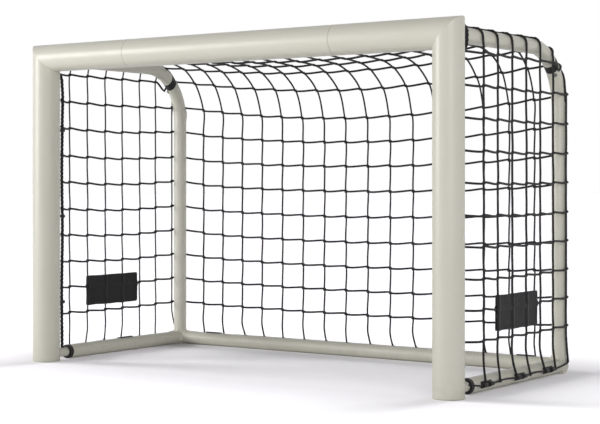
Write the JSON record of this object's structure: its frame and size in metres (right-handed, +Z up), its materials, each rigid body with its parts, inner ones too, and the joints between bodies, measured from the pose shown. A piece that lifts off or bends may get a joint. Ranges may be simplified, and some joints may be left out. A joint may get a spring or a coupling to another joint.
{
  "type": "mini soccer goal",
  "caption": "Small soccer goal of round powder-coated posts and crossbar, with a bent tube frame behind, plug joints, and a black net held on by clips and hooks.",
  "frame": {"origin": "on the ground, under the middle of the goal's outer size", "axes": "+X along the crossbar, +Y from the mouth towards the back, +Z up; the mouth faces -Y"},
  "size_m": [1.35, 0.6454, 0.875],
  "materials": {
    "ivory_coat": "smooth ivory powder coat, satin, on round steel tube",
    "ivory_plastic": "moulded ivory plastic",
    "black_plastic": "moulded black plastic, lightly textured",
    "black_cord": "knotted black polymer cord",
    "black_fabric": "bare black woven patch",
    "zinc": "zinc-plated screws",
    "inner_steel": "bare steel sleeve inside the crossbar"
  },
  "bodies": {
    "root": {"crossbar_end_left": "ivory_coat", "crossbar_end_right": "ivory_coat", "crossbar_middle": "ivory_coat", "crossbar_screw_left": "zinc", "crossbar_screw_right": "zinc", "crossbar_sleeve_left": "inner_steel", "crossbar_sleeve_right": "inner_steel", "elbow_joint_left": "black_plastic", "elbow_joint_right": "black_plastic", "elbow_screw_left": "zinc", "elbow_screw_right": "zinc", "ground_bar_left": "ivory_coat", "ground_bar_right": "ivory_coat", "ground_bush_left": "black_plastic", "ground_bush_right": "black_plastic", "ground_screw_left": "zinc", "ground_screw_right": "zinc", "ground_spigot_left": "ivory_coat", "ground_spigot_right": "ivory_coat", "label_inner_left": "black_fabric", "label_inner_right": "black_fabric", "label_outer_left": "black_fabric", "label_outer_right": "black_fabric", "net_back": "black_cord", "net_bend": "black_cord", "net_clip_left_1": "black_plastic", "net_clip_left_2": "black_plastic", "net_clip_left_3": "black_plastic", "net_clip_rear_1": "black_plastic", "net_clip_rear_2": "black_plastic", "net_clip_right_1": "black_plastic", "net_clip_right_2": "black_plastic", "net_clip_right_3": "black_plastic", "net_hook_crossbar_1": "black_plastic", "net_hook_crossbar_2": "black_plastic", "net_hook_crossbar_3": "black_plastic", "net_hook_crossbar_4": "black_plastic", "net_hook_left_1": "black_plastic", "net_hook_left_2": "black_plastic", "net_hook_left_3": "black_plastic", "net_hook_right_1": "black_plastic", "net_hook_right_2": "black_plastic", "net_hook_right_3": "black_plastic", "net_left": "black_cord", "net_right": "black_cord", "net_roof": "black_cord", "post_foot_left": "ivory_plastic", "post_foot_right": "ivory_plastic", "post_left": "ivory_coat", "post_right": "ivory_coat", "rear_corner_left": "ivory_coat", "rear_corner_right": "ivory_coat", "rear_ground_bar": "ivory_coat", "rear_upright_left": "ivory_coat", "rear_upright_right": "ivory_coat", "top_bar_left": "ivory_coat", "top_bar_right": "ivory_coat"}
  },
  "joints": []
}
